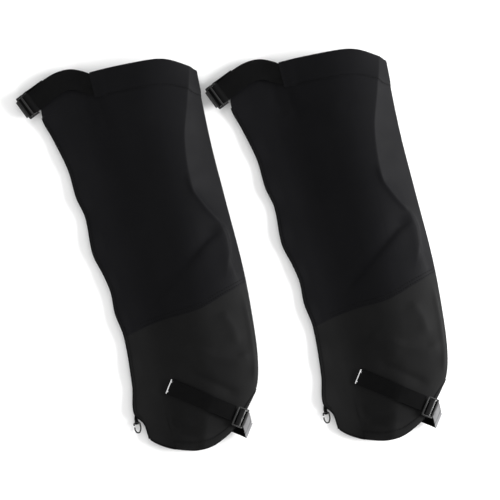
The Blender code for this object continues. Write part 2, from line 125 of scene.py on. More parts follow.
# Stage: lamps are name, place, size and power, and each looks at the middle.
FLOOR_Z = -0.0007
WORLD_STRENGTH = 0.80
LAMPS = [("key", (2.3, -0.35, 0.80), 1.3, 150.0), ("left_fill", (-1.9, 0.4, 1.7), 1.6, 6.0),
         ("upper_fill", (0.4, 2.0, 1.7), 1.6, 8.0), ("lower_fill", (-0.4, -2.0, 1.8), 1.6, 8.0)]
CAMERA_PLACE = (0.0131, 0.0013, 6.0)
CAMERA_ROLL = 0.2000
CAMERA_WIDTH = 0.600
SENSOR = 36.0

# Outlines of the lying gaiter: the first two are x against height y, the others y against x.
LEFT_EDGE = [(0.028, -0.0665), (0.044, -0.0690), (0.058, -0.0780), (0.090, -0.0735),
             (0.150, -0.0715), (0.180, -0.0765), (0.206, -0.0765), (0.228, -0.081),
             (0.255, -0.0885), (0.300, -0.0885), (0.325, -0.0945), (0.360, -0.0975),
             (0.400, -0.108), (0.427, -0.116), (0.450, -0.112), (0.470, -0.100)]
BACK_EDGE = [(0.000, 0.044), (0.043, 0.060), (0.062, 0.072), (0.090, 0.079), (0.130, 0.0825),
             (0.200, 0.0838), (0.290, 0.079), (0.360, 0.0755), (0.470, 0.0752)]
HEM_LINE = [(-0.080, 0.040), (-0.062, 0.020), (-0.045, 0.009), (-0.028, 0.003), (-0.010, 0.000),
            (0.010, 0.003), (0.038, 0.019), (0.057, 0.040), (0.074, 0.064), (0.090, 0.075)]
TOP_LINE = [(-0.120, 0.452), (-0.090, 0.463), (-0.050, 0.468), (0.000, 0.4685), (0.040, 0.466),
            (0.068, 0.457), (0.080, 0.450)]
SEAM_LINE = [(-0.080, 0.147), (-0.047, 0.156), (-0.019, 0.161), (0.022, 0.165), (0.055, 0.176),
             (0.090, 0.187)]
# The crease where the near face turns down to the side: x against height y.
CREASE = [(0.180, 0.0560), (0.210, 0.0660), (0.235, 0.0735), (0.259, 0.0700), (0.280, 0.0570),
          (0.303, 0.0450), (0.325, 0.0430), (0.350, 0.0440), (0.376, 0.0480), (0.410, 0.0580),
          (0.449, 0.0680), (0.470, 0.0690)]
CREASE_SHARPNESS = 0.97
CREASE_STARTS = (0.185, 0.235)
CREASE_FADES = (0.43, 0.47)


def spline(points, t):
    """Smooth (Catmull-Rom) values of a line of (t, value) points, for an array of t."""
    ts = np.array([p[0] for p in points])
    vs = np.array([p[1] for p in points])
    t = np.clip(np.asarray(t, float), ts[0], ts[-1])
    i = np.clip(np.searchsorted(ts, t, side="left") - 1, 0, len(ts) - 2)
    before = np.maximum(i - 1, 0)
    after = np.minimum(i + 2, len(ts) - 1)
    gap = ts[i + 1] - ts[i]
    m0 = (vs[i + 1] - vs[before]) / (ts[i + 1] - ts[before]) * gap
    m1 = (vs[after] - vs[i]) / (ts[after] - ts[i]) * gap
    s = (t - ts[i]) / gap
    return ((2 * s**3 - 3 * s**2 + 1) * vs[i] + (s**3 - 2 * s**2 + s) * m0
            + (3 * s**2 - 2 * s**3) * vs[i + 1] + (s**3 - s**2) * m1)


def smooth(low, high, value):
    """A soft step from 0 at low to 1 at high."""
    s = np.clip((np.asarray(value, float) - low) / (high - low), 0.0, 1.0)
    return s * s * (3 - 2 * s)


def root_x(y):
    """x of the flap's root line."""
    s = (np.asarray(y, float) - ROOT_LOW[1]) / (ROOT_TOP[1] - ROOT_LOW[1])
    return ROOT_LOW[0] + s * (ROOT_TOP[0] - ROOT_LOW[0])


def left_x(y):
    return spline(LEFT_EDGE, y)


def floor_z(y):
    """Height of the far side, lifted where the closure's layers lie under it."""
    lift = smooth(*TOP_LAYERS, y) + 1 - smooth(*LOW_LAYERS, y)
    return CLOTH / 2 + LAYER_LIFT * lift


def eased_climb(share):
    """A straight climb from 0 to 1 with rounded ends."""
    t = np.clip(share, 0.0, 1.0)
    low = t**2 / (2 * NEAR_EASE)
    high = 1 - NEAR_EASE - (1 - t) ** 2 / (2 * NEAR_EASE)
    height = np.where(t < NEAR_EASE, low, np.where(t > 1 - NEAR_EASE, high, t - NEAR_EASE / 2))
    return height / (1 - NEAR_EASE)


def section(q, y):
    """x and z of the leg tube at share q of the way round and height y."""
    q, y = np.broadcast_arrays(np.asarray(q, float), np.asarray(y, float))
    root = root_x(y)
    back = spline(BACK_EDGE, y)
    top = HEM_HEIGHT + (LEG_HEIGHT - HEM_HEIGHT) * smooth(0.0, FULL_HEIGHT_Y, y)
    base = floor_z(y)
    side = base + SIDE_RISE
    s = q / NEAR_END
    climb = eased_climb(s / NEAR_RISE)
    near = (root + s * (back - SIDE_WIDTH - root), CLOSURE_Z + (top - CLOSURE_Z) * climb)
    a = (q - NEAR_END) / (SIDE_END - NEAR_END) * np.pi / 2
    rounded = (back - SIDE_WIDTH * (1 - np.sin(a)), side + (top - side) * np.cos(a))
    share = np.clip(1 - (back - spline(CREASE, y)) / SIDE_WIDTH, 0.03, 0.97)
    fold = np.arcsin(share)
    cx, cz = back - SIDE_WIDTH * (1 - share), side + (top - side) * np.cos(fold)
    up_to = np.clip(a / fold, 0, 1)
    past = np.clip((a - fold) / (np.pi / 2 - fold), 0, 1)
    flat_x = np.where(a <= fold, back - SIDE_WIDTH + up_to * (cx - back + SIDE_WIDTH),
                      cx + past * (back - cx))
    flat_z = np.where(a <= fold, top + up_to**1.7 * (cz - top), cz + past * (side - cz))
    sharp = CREASE_SHARPNESS * smooth(*CREASE_STARTS, y) * (1 - 0.5 * smooth(*CREASE_FADES, y))
    rounded = (rounded[0] + sharp * (flat_x - rounded[0]), rounded[1] + sharp * (flat_z - rounded[1]))
    b = (q - SIDE_END) / (UNDER_END - SIDE_END) * np.pi / 2
    under = (back - UNDER_ROUND * (1 - np.cos(b)), side - SIDE_RISE * np.sin(b))
    f = (q - UNDER_END) / (1 - UNDER_END)
    far = (back - UNDER_ROUND + f * (root - back + UNDER_ROUND), base)
    stretches = [q <= NEAR_END, q <= SIDE_END, q <= UNDER_END]
    return tuple(np.select(stretches, [near[k], rounded[k], under[k]], far[k]) for k in (0, 1))


def line_height(line, q, guess):
    """Height where each column q crosses an outline given as height against x."""
    y = np.full(np.shape(q), guess, float)
    for _ in range(14):
        y = spline(line, section(q, y)[0])
    return y


# Soft folds of the near face: a line of (x, y) points, a height and a width on each side.
FOLDS = [
    ([(-0.034, 0.180), (-0.004, 0.203), (0.022, 0.224), (0.050, 0.246), (0.072, 0.256)], -0.0026,
     0.015, 0.005),
    ([(-0.052, 0.405), (-0.062, 0.425), (-0.060, 0.445)], -0.0012, 0.008, 0.008),
    ([(-0.040, 0.395), (-0.046, 0.420), (-0.044, 0.440)], -0.0010, 0.006, 0.007),
    ([(0.066, 0.266), (0.0715, 0.244), (0.0705, 0.215), (0.0740, 0.185)], 0.0024, 0.012, 0.003),
    ([(0.040, 0.330), (0.044, 0.305), (0.056, 0.280), (0.072, 0.256)], 0.0014, 0.004, 0.004),
    ([(0.0690, 0.062), (0.0750, 0.090), (0.0775, 0.130), (0.0780, 0.180)], 0.0020, 0.004, 0.002),
    ([(0.004, 0.122), (0.030, 0.106), (0.056, 0.098), (0.078, 0.102)], 0.0022, 0.010, 0.006),
    ([(0.048, 0.160), (0.058, 0.136), (0.060, 0.112)], 0.0016, 0.010, 0.007),
    ([(-0.036, 0.060), (-0.037, 0.036), (-0.030, 0.023), (-0.012, 0.017), (0.014, 0.014)], 0.0018,
     0.005, 0.004),
    ([(-0.037, 0.052), (-0.031, 0.036), (-0.016, 0.029), (0.004, 0.028)], -0.0020, 0.005, 0.006),
    ([(-0.006, 0.096), (0.020, 0.077), (0.052, 0.054)], -0.0022, 0.008, 0.006),
    ([(-0.008, 0.130), (0.006, 0.114), (0.026, 0.094)], 0.0015, 0.010, 0.008),
    ([(-0.052, 0.440), (-0.030, 0.420), (-0.006, 0.405), (0.020, 0.400)], 0.0010, 0.012, 0.012),
]


def fold_height(x, y):
    """Height of all the folds together."""
    total = np.zeros(np.shape(x))
    for line, height, wide_left, wide_right in FOLDS:
        best = np.full(np.shape(x), 1e9)
        sign = np.zeros(np.shape(x))
        share = np.zeros(np.shape(x))
        count = len(line) - 1
        for i in range(count):
            ax, ay = line[i]
            dx, dy = line[i + 1][0] - ax, line[i + 1][1] - ay
            t = np.clip(((x - ax) * dx + (y - ay) * dy) / (dx * dx + dy * dy), 0, 1)
            px, py = x - ax - t * dx, y - ay - t * dy
            d = np.hypot(px, py)
            near = d < best
            best = np.where(near, d, best)
            sign = np.where(near, np.sign(dx * py - dy * px), sign)
            share = np.where(near, (i + t) / count, share)
        upward = 1 if line[0][1] < line[-1][1] else -1
        wide = np.where(sign * upward > 0, wide_left, wide_right)
        ends = smooth(0.0, 0.22, share) * (1 - smooth(0.78, 1.0, share))
        total = total + height * ends / (1 + (best / wide) ** 2) ** 1.5
    return total


def soft_noise(x, y, seed, scale):
    """A few slow waves: the uneven lie of cloth."""
    rng = np.random.default_rng(seed)
    total = np.zeros(np.shape(x))
    for _ in range(7):
        angle, phase = rng.uniform(0, math.tau, 2)
        wave = scale * rng.uniform(0.6, 1.6)
        total = total + np.sin((x * math.cos(angle) + y * math.sin(angle)) * math.tau / wave + phase)
    return total / 7


def leg_points(q, y, off=0.0):
    """Points of the leg tube with its folds, off outwards."""
    x, z = section(q, y)
    x0, z0 = section(np.maximum(q - 0.004, 0), y)
    x1, z1 = section(np.minimum(q + 0.004, 1), y)
    length = np.hypot(x1 - x0, z1 - z0)
    nx, nz = -(z1 - z0) / length, (x1 - x0) / length
    top = 1 - smooth(SIDE_END - 0.05, SIDE_END, q)
    bump = fold_height(x, y) + 0.0009 * soft_noise(x, y, 3, 0.11) * smooth(0.0, 0.08, q)
    push = off + bump * top
    return np.stack([x + nx * push, np.broadcast_to(y, x.shape), z + nz * push], axis=-1)


def near_z(x, y):
    """Height of the near face at arrays x, y."""
    x, y = np.broadcast_arrays(np.asarray(x, float), np.asarray(y, float))
    low = np.zeros(x.shape)
    high = np.full(x.shape, NEAR_END + 0.9 * (SIDE_END - NEAR_END))
    for _ in range(30):
        middle = (low + high) / 2
        under = section(middle, y)[0] < x
        low = np.where(under, middle, low)
        high = np.where(under, high, middle)
    return leg_points(low, y)[..., 2]


# ---------------------------------------------------------------- materials
CLOTH_SPECULAR = 0.06
RIB_PITCH, ROW_PITCH = 0.0016, 0.0012


def new_material(name, color, roughness, metallic=0.0, sheen=0.0, specular=0.5):
    material = bpy.data.materials.new(name)
    material.use_nodes = True
    shader = material.node_tree.nodes["Principled BSDF"]
    shader.inputs["Base Color"].default_value = (*color, 1.0)
    shader.inputs["Roughness"].default_value = roughness
    shader.inputs["Metallic"].default_value = metallic
    shader.inputs["Sheen Weight"].default_value = sheen
    shader.inputs["Sheen Roughness"].default_value = 0.25
    shader.inputs["Specular IOR Level"].default_value = specular
    return material, shader


def add_node(material, kind, **inputs):
    node = material.node_tree.nodes.new(kind)
    for key, value in inputs.items():
        node.inputs[key.replace("_", " ")].default_value = value
    return node


def link(material, source, target):
    material.node_tree.links.new(source, target)


def coordinates(material, kind="Object"):
    return add_node(material, "ShaderNodeTexCoord").outputs[kind]


def texture(material, kind, vector, **inputs):
    """A texture node read along vector."""
    node = add_node(material, kind, **inputs)
    link(material, vector, node.inputs["Vector"])
    return node


def waves(material, vector, pitch, direction):
    """Bands that repeat every pitch metres."""
    scale = math.tau / pitch / 20.0
    node = texture(material, "ShaderNodeTexWave", vector, Scale=scale, Distortion=0.0)
    node.wave_type = "BANDS"
    node.bands_direction = direction
    return node.outputs["Fac"]


def combine(material, a, b, operation):
    node = add_node(material, "ShaderNodeMath")
    node.operation = operation
    link(material, a, node.inputs[0])
    link(material, b, node.inputs[1])
    return node.outputs[0]


def vary_color(material, shader, vector, dark, light, scale):
    """Slow colour variation from dark to light."""
    noise = texture(material, "ShaderNodeTexNoise", vector, Scale=scale, Detail=4.0, Roughness=0.6)
    ramp = add_node(material, "ShaderNodeValToRGB")
    ramp.color_ramp.elements[0].position = 0.32
    ramp.color_ramp.elements[1].position = 0.70
    ramp.color_ramp.elements[0].color = (*dark, 1)
    ramp.color_ramp.elements[1].color = (*light, 1)
    link(material, noise.outputs["Fac"], ramp.inputs["Fac"])
    link(material, ramp.outputs["Color"], shader.inputs["Base Color"])


def add_bump(material, shader, height, strength, distance):
    bump = add_node(material, "ShaderNodeBump", Strength=strength, Distance=distance)
    link(material, height, bump.inputs["Height"])
    link(material, bump.outputs["Normal"], shader.inputs["Normal"])


def woven(name, dark, light, pitch, roughness, sheen, strength):
    """Plain weave: two crossed sets of threads, pitch metres apart, with slow colour variation."""
    material, shader = new_material(name, light, roughness, sheen=sheen, specular=CLOTH_SPECULAR)
    vector = coordinates(material)
    warp = waves(material, vector, pitch, "X")
    weft = waves(material, vector, pitch, "Y")
    weave = combine(material, warp, weft, "MULTIPLY")
    grain = texture(material, "ShaderNodeTexNoise", vector, Scale=900.0, Detail=2.0)
    height = combine(material, weave, grain.outputs["Fac"], "ADD")
    vary_color(material, shader, vector, dark, light, 14.0)
    add_bump(material, shader, height, strength, 0.0003)
    rough = texture(material, "ShaderNodeTexNoise", vector, Scale=35.0, Detail=3.0)
    spread = add_node(material, "ShaderNodeMapRange")
    spread.inputs["To Min"].default_value = roughness - 0.06
    spread.inputs["To Max"].default_value = roughness + 0.08
    link(material, rough.outputs["Fac"], spread.inputs["Value"])
    link(material, spread.outputs["Result"], shader.inputs["Roughness"])
    return material


def webbing_material(name, dark, light, roughness):
    """Ribbed webbing: threads across and along; UV in metres."""
    material, shader = new_material(name, light, roughness, specular=CLOTH_SPECULAR)
    vector = coordinates(material, "UV")
    ribs = waves(material, vector, RIB_PITCH, "Y")
    rows = waves(material, vector, ROW_PITCH, "X")
    height = combine(material, ribs, rows, "MULTIPLY")
    vary_color(material, shader, vector, dark, light, 60.0)
    add_bump(material, shader, height, 0.40, 0.0003)
    return material


def moulded(name, dark, light, roughness):
    """Satin moulded plastic with a fine grain and slow colour variation."""
    material, shader = new_material(name, light, roughness, specular=0.3)
    vector = coordinates(material)
    vary_color(material, shader, vector, dark, light, 220.0)
    grain = texture(material, "ShaderNodeTexNoise", vector, Scale=2600.0, Detail=2.0)
    add_bump(material, shader, grain.outputs["Fac"], 0.18, 0.0002)
    return material


def brushed(name, dark, light, roughness):
    """Bright metal with fine scratches along X and a little tarnish."""
    material, shader = new_material(name, light, roughness, metallic=1.0)
    vector = coordinates(material)
    vary_color(material, shader, vector, dark, light, 300.0)
    stretch = texture(material, "ShaderNodeMapping", vector, Scale=(400.0, 6000.0, 6000.0))
    lengthwise = stretch.outputs["Vector"]
    scratch = texture(material, "ShaderNodeTexNoise", lengthwise, Scale=1.0, Detail=2.0)
    add_bump(material, shader, scratch.outputs["Fac"], 0.15, 0.0002)
    return material


def pile(name, dark, light, scale, strength):
    """Hook or loop tape: a dense small pile."""
    material, shader = new_material(name, light, 0.9, sheen=0.3, specular=0.25)
    vector = coordinates(material)
    cells = texture(material, "ShaderNodeTexVoronoi", vector, Scale=scale)
    vary_color(material, shader, vector, dark, light, 260.0)
    add_bump(material, shader, cells.outputs["Distance"], strength, 0.0006)
    return material


MATS = {
    "shell": woven("shell_cloth", (0.0030, 0.0030, 0.0036), (0.0040, 0.0040, 0.0047),
                   0.0006, 0.60, 0.03, 0.20),
    "heavy_shell": woven("heavy_cloth", (0.0058, 0.0058, 0.0059), (0.0078, 0.0078, 0.0079),
                         0.0011, 0.66, 0.03, 0.42),
    "binding": woven("binding_cloth", (0.0020, 0.0020, 0.0022), (0.0034, 0.0034, 0.0036),
                     0.0008, 0.75, 0.0, 0.5),
    "webbing": webbing_material("black_webbing", (0.0009, 0.0009, 0.0010), (0.0020, 0.0020, 0.0021),
                                0.62),
    # Light grey painted on the instep strap's outer bend: a painted reflection of the key lamp.
    "bend_reflection_web": webbing_material("painted_reflection_webbing", (0.11, 0.11, 0.113), (0.15, 0.15, 0.153), 0.5),
    "hook_tape": pile("hook_pile", (0.004, 0.004, 0.004), (0.009, 0.009, 0.009), 900.0, 0.9),
    "loop_tape": pile("loop_pile", (0.005, 0.005, 0.005), (0.012, 0.012, 0.012), 520.0, 0.7),
    "seam_tape": moulded("seam_tape_film", (0.010, 0.010, 0.011), (0.018, 0.018, 0.019), 0.35),
    "plastic": moulded("black_plastic", (0.006, 0.006, 0.006), (0.012, 0.012, 0.012), 0.40),
    "steel": brushed("bright_steel", (0.55, 0.55, 0.56), (0.80, 0.80, 0.80), 0.26),
    "dark_steel": brushed("dark_steel", (0.05, 0.05, 0.05), (0.12, 0.12, 0.12), 0.36),
    "coated_wire": moulded("wire_coating", (0.006, 0.006, 0.006), (0.014, 0.014, 0.014), 0.30),
    "thread": woven("sewing_thread", (0.0030, 0.0030, 0.0032), (0.0050, 0.0050, 0.0052),
                    0.0004, 0.6, 0.0, 0.3),
}


# ---------------------------------------------------------------- mesh helpers
def finish_mesh(name, bm, key, place, auto_angle=None):
    """The object made of bm, moved to place; edges over auto_angle degrees stay sharp."""
    mesh = bpy.data.meshes.new(name)
    bm.normal_update()
    bm.to_mesh(mesh)
    bm.free()
    mesh.shade_smooth()
    if auto_angle is not None:
        mesh.set_sharp_from_angle(angle=math.radians(auto_angle))
    obj = bpy.data.objects.new(name, mesh)
    bpy.context.scene.collection.objects.link(obj)
    mesh.materials.append(MATS[key])
    mesh.transform(Matrix.Translation(Vector(place)))
    return obj


def way_along(grid, axis):
    """Length of the way to each point of a grid, along one of its axes."""
    steps = np.linalg.norm(np.diff(grid, axis=axis), axis=2)
    start = np.zeros_like(steps.take([0], axis=axis))
    return np.concatenate([start, np.cumsum(steps, axis=axis)], axis=axis)


def sheet_mesh(name, grid, key, place, thickness, uv_grid=None):
    """A sheet of even thickness over a grid of points, shape (rows, columns, 3)."""
    rows, cols = grid.shape[:2]
    bm = bmesh.new()
    uv = bm.loops.layers.uv.new("UVMap")
    verts = [[bm.verts.new(grid[i, j]) for j in range(cols)] for i in range(rows)]
    if uv_grid is None:
        uv_grid = np.stack([way_along(grid, 0), way_along(grid, 1)], axis=-1)
    for i in range(rows - 1):
        for j in range(cols - 1):
            corners = [(i, j), (i, j + 1), (i + 1, j + 1), (i + 1, j)]
            face = bm.faces.new([verts[a][b] for a, b in corners])
            for loop, (a, b) in zip(face.loops, corners):
                loop[uv].uv = uv_grid[a, b]
    obj = finish_mesh(name, bm, key, place)
    solid = obj.modifiers.new("thickness", "SOLIDIFY")
    solid.thickness = thickness
    solid.offset = 0.0
    solid.use_even_offset = False
    obj = apply_modifiers(obj)
    obj.data.set_sharp_from_angle(angle=math.radians(50))
    return obj


def apply_modifiers(obj):
    graph = bpy.context.evaluated_depsgraph_get()
    mesh = bpy.data.meshes.new_from_object(obj.evaluated_get(graph))
    obj.modifiers.clear()
    obj.data = mesh
    return obj


def rounded_box(bm, matrix, middle, size, bevel, segments=3):
    """A box with rounded edges added to bm, with its middle given in the matrix's frame."""
    part = bmesh.new()
    bmesh.ops.create_cube(part, size=1.0)
    bmesh.ops.scale(part, vec=size, verts=part.verts)
    bmesh.ops.bevel(part, geom=list(part.edges), offset=bevel, segments=segments, affect="EDGES",
                    profile=0.5)
    bmesh.ops.transform(part, matrix=matrix @ Matrix.Translation(middle), verts=part.verts)
    mesh = bpy.data.meshes.new("part")
    part.to_mesh(mesh)
    part.free()
    bm.from_mesh(mesh)
    bpy.data.meshes.remove(mesh)


def tube_mesh(bm, points, radius, sides):
    """A round tube with closed ends through points, added to bm."""
    points = [Vector(p) for p in points]
    last = len(points) - 1
    rings = []
    normal = None
    for i, point in enumerate(points):
        tangent = (points[min(i + 1, last)] - points[max(i - 1, 0)]).normalized()
        if normal is None:
            normal = tangent.orthogonal().normalized()
        normal = (normal - tangent * normal.dot(tangent)).normalized()
        other = tangent.cross(normal)
        rings.append([bm.verts.new(point + radius * (math.cos(a) * normal + math.sin(a) * other))
                      for a in (math.tau * k / sides for k in range(sides))])
    for low, high in zip(rings, rings[1:]):
        for k in range(sides):
            after = (k + 1) % sides
            bm.faces.new((low[k], low[after], high[after], high[k]))
    bm.faces.new(list(reversed(rings[0])))
    bm.faces.new(rings[-1])


def round_path(points, radius, steps=5):
    """The line of points with its corners rounded."""
    points = [Vector(p) for p in points]
    path = [points[0]]
    for before, corner, after in zip(points, points[1:], points[2:]):
        a = corner + (before - corner).normalized() * min(radius, (before - corner).length / 2)
        b = corner + (after - corner).normalized() * min(radius, (after - corner).length / 2)
        for k in range(steps + 1):
            t = k / steps
            path.append(a * (1 - t) ** 2 + corner * 2 * t * (1 - t) + b * t * t)
    path.append(points[-1])
    return path


def stitch_mesh(name, lines, place):
    """Rows of small thread stitches along lines of points (with surface normals)."""
    bm = bmesh.new()
    for points, normals in lines:
        points = [Vector(p) for p in points]
        normals = [Vector(n).normalized() for n in normals]
        marks = [0.0]
        for a, b in zip(points, points[1:]):
            marks.append(marks[-1] + (b - a).length)
        at = 0.0
        while at + STITCH_LENGTH < marks[-1]:
            ends = []
            for s in (at, at + STITCH_LENGTH / 2, at + STITCH_LENGTH):
                i = min(max(np.searchsorted(marks, s) - 1, 0), len(points) - 2)
                t = (s - marks[i]) / max(marks[i + 1] - marks[i], 1e-9)
                ends.append((points[i].lerp(points[i + 1], t), normals[i]))
            (a, n), (m, _), (b, _) = ends
            path = [a - n * THREAD_RADIUS, m + n * THREAD_RADIUS * 0.7, b - n * THREAD_RADIUS]
            tube_mesh(bm, path, THREAD_RADIUS, 5)
            at += STITCH_LENGTH + STITCH_GAP
    return finish_mesh(name, bm, "thread", place)


# ---------------------------------------------------------------- one gaiter's cloth
# Columns of the near and the far cloth: shares of the way round.
NEAR_Q = np.concatenate([np.linspace(0, NEAR_END, 62)[:-1], np.linspace(NEAR_END, SIDE_END, 56)])
FAR_Q = np.concatenate([np.linspace(SIDE_END, UNDER_END, 12)[:-1], np.linspace(UNDER_END, 1.0, 26)])


def hem_height(q):
    return line_height(HEM_LINE, q, 0.02)


def seam_height(q):
    return line_height(SEAM_LINE, q, 0.16)


def top_height(q):
    return line_height(TOP_LINE, q, 0.46) - 0.008 * smooth(NEAR_END, SIDE_END, q)


def leg_grid(q, low, high, rows, off=0.0):
    """Grid of leg points between two heights for each column q."""
    share = np.linspace(0, 1, rows)[:, None]
    y = low[None, :] + share * (high - low)[None, :]
    return leg_points(np.broadcast_to(q, y.shape), y, off)


def flap_point(s, y, outer=0.0):
    """Point of the closure strip: s 0 at its outer edge and 1 at the root line."""
    edge = left_x(y) + outer
    x = edge + s * (root_x(y) - edge)
    wave = 1 + np.sin(y * math.tau / RIPPLE_LENGTH + 0.6)
    return np.stack([x, y, CLOSURE_Z + RIPPLE * wave * (1 - smooth(0.0, 0.6, s))], axis=-1)


def flap_line(line, s, guess):
    """Height where each column s of the closure crosses an outline."""
    y = np.full(np.shape(s), guess, float)
    for _ in range(14):
        y = spline(line, flap_point(s, y)[..., 0])
    return y


def flap_hem(s):
    return flap_line(HEM_LINE, s, 0.02)


def flap_seam(s):
    return flap_line(SEAM_LINE, s, 0.15)


def flap_grid(low, high, columns, rows, outer=0.0):
    """Grid of the closure between two heights, each a number or a function of s."""
    s = np.linspace(0, 1, columns)
    start = low(s) if callable(low) else np.full(columns, low)
    stop = high(s) if callable(high) else np.full(columns, high)
    share = np.linspace(0, 1, rows)[:, None]
    y = start[None, :] + share * (stop - start)[None, :]
    return flap_point(np.broadcast_to(s, y.shape), y, outer)


def attach(obj, body, slot, *nodes):
    """The piece rides on a body and stands for CAD nodes, if any are named; slot is not used."""
    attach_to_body(obj, body)
    if nodes:
        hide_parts(*nodes)


def blend_flap(obj):
    """Bakes the piece's placing into its mesh; the direction of the flap's root line is worked out but
    not used.
    """
    direction = np.array([ROOT_TOP[1] - ROOT_LOW[1], ROOT_LOW[0] - ROOT_TOP[0], 0.0])
    direction /= np.linalg.norm(direction)
    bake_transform(obj)


def add_leg_panels(side, place):
    """The near and the far half of the upper and of the lower panel."""
    near_seam, far_seam = seam_height(NEAR_Q), seam_height(FAR_Q)
    near_top, far_top = top_height(NEAR_Q) - EDGE_INSET, top_height(FAR_Q) - EDGE_INSET
    near_hem, far_hem = hem_height(NEAR_Q) + EDGE_INSET, hem_height(FAR_Q) + EDGE_INSET
    for name, q, low, high, rows, key, node, rests_on in (
            ("upper_near", NEAR_Q, near_seam, near_top, 150, "shell", "upper_panel", "upper_far"),
            ("lower_near", NEAR_Q, near_hem, near_seam, 90, "heavy_shell", "lower_panel", "upper_far"),
            ("upper_far", FAR_Q, far_seam, far_top, 60, "shell", "upper_panel", "top_tunnel"),
            ("lower_far", FAR_Q, far_hem, far_seam, 40, "heavy_shell", "lower_panel", "top_tunnel")):
        grid = leg_grid(q, low, high, rows)
        obj = sheet_mesh(f"{side}_{name}", grid, key, place, CLOTH)
        attach(obj, f"{side}_gaiter", key, f"{side}_{node}")


def add_closure(side, place):
    """The storm flap in two cloths, the collar above it and the underlap below it."""
    for name, low, high, rows, key in (("flap_upper", flap_seam, COLLAR_LOW, 130, "shell"),
                                       ("flap_lower", flap_hem, flap_seam, 70, "heavy_shell")):
        grid = flap_grid(low, high, 22, rows)
        obj = sheet_mesh(f"{side}_{name}", grid, key, place, CLOTH)
        blend_flap(obj)
        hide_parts(f"{side}_front_flap")
    grid = flap_grid(COLLAR_LOW + 0.0001, COLLAR_TOP, 22, 24)
    obj = sheet_mesh(f"{side}_collar", grid, "shell", place, CLOTH)
    attach(obj, f"{side}_gaiter", "shell", f"{side}_collar_tab")
    grid = flap_grid(flap_hem, UNDERLAP_TOP, 12, 90, UNDERLAP_OUTER)
    grid[..., 2] = CLOTH / 2 + UNDERLAP_LIFT
    obj = sheet_mesh(f"{side}_underlap", grid, "shell", place, CLOTH)
    attach(obj, f"{side}_gaiter", "shell", f"{side}_front_underlap")


def add_tapes(side, place):
    """Hook tape under the flap, loop tape on the underlap, and seam tape inside the leg."""
    y = np.linspace(TAPE_LOW, TAPE_TOP, 120)[:, None]
    x = left_x(y) + TAPE_EDGE + np.linspace(0, 1, 8)[None, :] * TAPE_WIDTH
    for name, drop, body in (("hook_tape", 0.0014, "front_flap"), ("loop_tape", 0.0027, "gaiter")):
        z = np.full(x.shape, CLOSURE_Z - drop)
        grid = np.stack([x, np.broadcast_to(y, x.shape), z], axis=-1)
        obj = sheet_mesh(f"{side}_{name}_strip", grid, name, place, TAPE_THICK)
        attach(obj, f"{side}_{body}", name, f"{side}_{name}")
    q = np.concatenate([NEAR_Q[1::2], FAR_Q[1::2]])
    seam = seam_height(q)
    grid = leg_grid(q, seam - SEAM_TAPE_HALF, seam + SEAM_TAPE_HALF, 9, INSIDE_LEG)
    obj = sheet_mesh(f"{side}_inner_seam_tape", grid, "seam_tape", place, SEAM_TAPE_THICK)
    attach(obj, f"{side}_gaiter", "seam_tape", f"{side}_seam_tape")


def rolled_edge(name, points, radius, key, place):
    """A round rolled edge along points."""
    bm = bmesh.new()
    tube_mesh(bm, points, radius, 8)
    return finish_mesh(name, bm, key, place)


def add_hem_edge(side, place):
    """The binding folded over the hem, and the roll at its edge."""
    q = np.concatenate([NEAR_Q, FAR_Q[1:]])
    hem = hem_height(q)
    share = np.linspace(0, 1, 9)[:, None]
    y = hem[None, :] + HEM_CLEAR + share * HEM_FOLD
    puff = 0.0004 * np.sin(share * math.pi) + 0.0004
    grid = leg_points(np.broadcast_to(q, y.shape), y, np.broadcast_to(puff, y.shape))
    obj = sheet_mesh(f"{side}_hem_fold", grid, "heavy_shell", place, 0.0013)
    attach(obj, f"{side}_gaiter", "binding", f"{side}_hem_binding")
    edge = leg_points(q, hem + 0.0009)
    obj = rolled_edge(f"{side}_hem_edge", edge[::2], BINDING_RADIUS, "binding", place)
    attach(obj, f"{side}_gaiter", "binding")


def add_flap_edge(side, place):
    """The flap's rolled edge, down its outer side and along its lower end."""
    y = np.linspace(FLAP_EDGE_TOP, float(flap_hem(np.array([0.0]))[0]), 170)
    down = flap_point(np.zeros(170), y)
    obj = rolled_edge(f"{side}_flap_edge", down, BINDING_RADIUS, "binding", place)
    attach(obj, f"{side}_front_flap", "binding", f"{side}_flap_binding")
    s = np.linspace(0, 1, 26)[1:]
    foot = flap_point(s, flap_hem(s) + HEM_CLEAR)
    obj = rolled_edge(f"{side}_flap_foot", foot, BINDING_RADIUS, "binding", place)
    blend_flap(obj)


def add_top_band(side, place):
    """The band that the top strap runs in: it stands higher over the strap, most at its mouth."""
    q = np.concatenate([NEAR_Q[NEAR_Q > BAND_START], FAR_Q[1:-1]])
    top = top_height(q)
    share = np.linspace(0, 1, 16)[:, None]
    y = top[None, :] - BAND_WIDTH + share * BAND_WIDTH
    past_mouth = (q - q[0])[None, :]
    over_strap = (1 - smooth(0.135, 0.18, q))[None, :]
    gather = 0.0004 * np.sin(share * math.tau * 3.0) * np.exp(-past_mouth / 0.04)
    rise = 0.0008 + 0.0014 * over_strap + 0.0008 * np.exp(-past_mouth / 0.012) + gather
    puff = 0.0003 + rise * smooth(0.0, 0.08 + 0.15 * (1 - over_strap), share)
    grid = leg_points(np.broadcast_to(q, y.shape), y, puff)
    obj = sheet_mesh(f"{side}_top_band", grid, "shell", place, CLOTH)
    attach(obj, f"{side}_gaiter", "shell", f"{side}_top_tunnel")
    edge = leg_points(q, top + 0.0001, 0.0003)
    obj = rolled_edge(f"{side}_top_edge", edge[::2], 0.0011, "shell", place)
    attach(obj, f"{side}_gaiter", "shell")


def stitch_line(q, y, off):
    """A line of points on the leg for a row of stitches, with the directions out of the cloth."""
    points = leg_points(q, y, off)
    return points, points - leg_points(q, y, off - 0.001)


